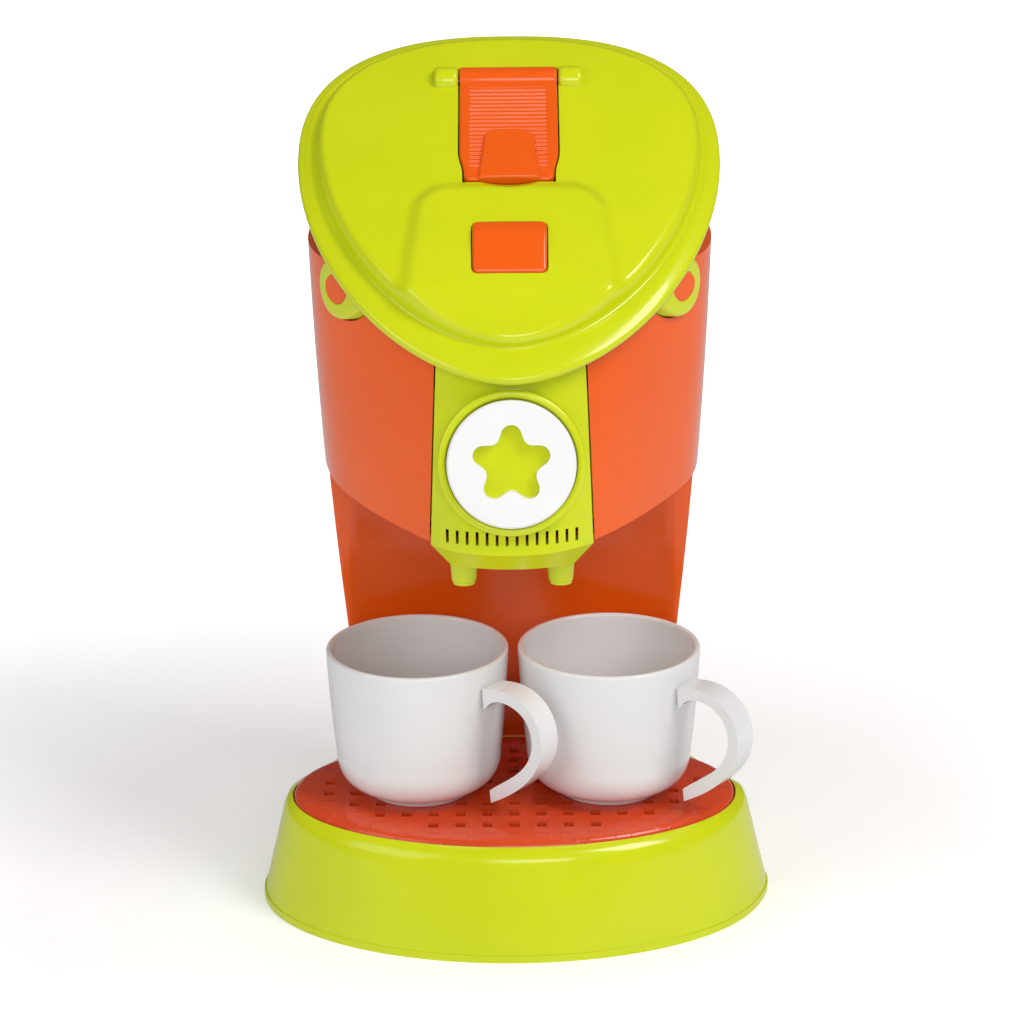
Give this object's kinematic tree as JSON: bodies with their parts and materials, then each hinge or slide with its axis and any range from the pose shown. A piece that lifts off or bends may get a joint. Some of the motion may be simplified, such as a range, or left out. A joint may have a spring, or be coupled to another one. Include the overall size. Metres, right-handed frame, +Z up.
{
  "type": "toy coffee maker",
  "caption": "Toy coffee maker with a flared base, lift-out drip tray, tilting lid with flap and button, star dial, two spouts and two cups.",
  "frame": {"origin": "on the floor, under the centre of the oval drip tray", "axes": "+X to the object's own left as seen from behind, that is right in the picture, +Y to the column at the back, +Z up"},
  "size_m": [0.1695, 0.1365, 0.278],
  "materials": {
    "lime_plastic": "gloss",
    "orange_plastic": "gloss",
    "white_plastic": "gloss",
    "steel": "satin",
    "grey_pin": "satin"
  },
  "bodies": {
    "machine": {"base_shell": "lime_plastic", "base_plate": "lime_plastic", "base_screws": "steel", "column_screws": "steel", "housing_front": "orange_plastic", "rear_cover": "orange_plastic", "cover_screws": "steel", "front_panel": "lime_plastic", "spout_block": "lime_plastic", "spout_left": "lime_plastic", "spout_right": "lime_plastic", "tap_body": "white_plastic", "water_tank": "white_plastic"},
    "tray": {"drip_tray": "orange_plastic"},
    "lid": {"lid_shell": "lime_plastic", "lid_liner": "lime_plastic", "hinge_pin_left": "orange_plastic", "hinge_pin_right": "orange_plastic", "flap_pin": "grey_pin"},
    "flap_body": {"flap": "orange_plastic"},
    "button_body": {"button": "orange_plastic", "button_spring": "steel"},
    "dial": {"star_dial": "white_plastic", "dial_hub": "lime_plastic", "dial_clip": "steel", "tap_core": "orange_plastic"},
    "left_cup": {"cup_left": "white_plastic", "cup_handle_left": "white_plastic"},
    "right_cup": {"cup_right": "white_plastic", "cup_handle_right": "white_plastic"}
  },
  "joints": [
    {"name": "lid_tilt", "type": "hinge", "parent": "machine", "child": "lid", "pos_m": [0, -0.0044, 0.2099], "axis": [-1, 0, 0], "range_deg": [0, 30]},
    {"name": "flap_hinge", "type": "hinge", "parent": "lid", "child": "flap_body", "pos_m": [0, 0.04263, 0.26672], "axis": [-1, 0, 0], "range_deg": [0, 100]},
    {"name": "button_press", "type": "slide", "parent": "lid", "child": "button_body", "axis": [0, 0.5878, -0.809], "range_m": [0, 0.0025], "stiffness_N_per_m": 300, "springref_m": -0.003, "deforming": ["button_spring"]},
    {"name": "dial_spin", "type": "hinge", "parent": "machine", "child": "dial", "pos_m": [0, -0.04189, 0.1642], "axis": [0, -0.9877, 0.1564], "continuous": true},
    {"name": "tray_lift", "type": "slide", "parent": "machine", "child": "tray", "axis": [0, 0, 1], "range_m": [0, 0.012]},
    {"name": "left_cup_lift", "type": "slide", "parent": "tray", "child": "left_cup", "axis": [-0.3515, -0.924, 0.1506], "range_m": [0, 0.14]},
    {"name": "right_cup_lift", "type": "slide", "parent": "tray", "child": "right_cup", "axis": [0.8004, -0.5803, 0.1501], "range_m": [0, 0.14]}
  ]
}
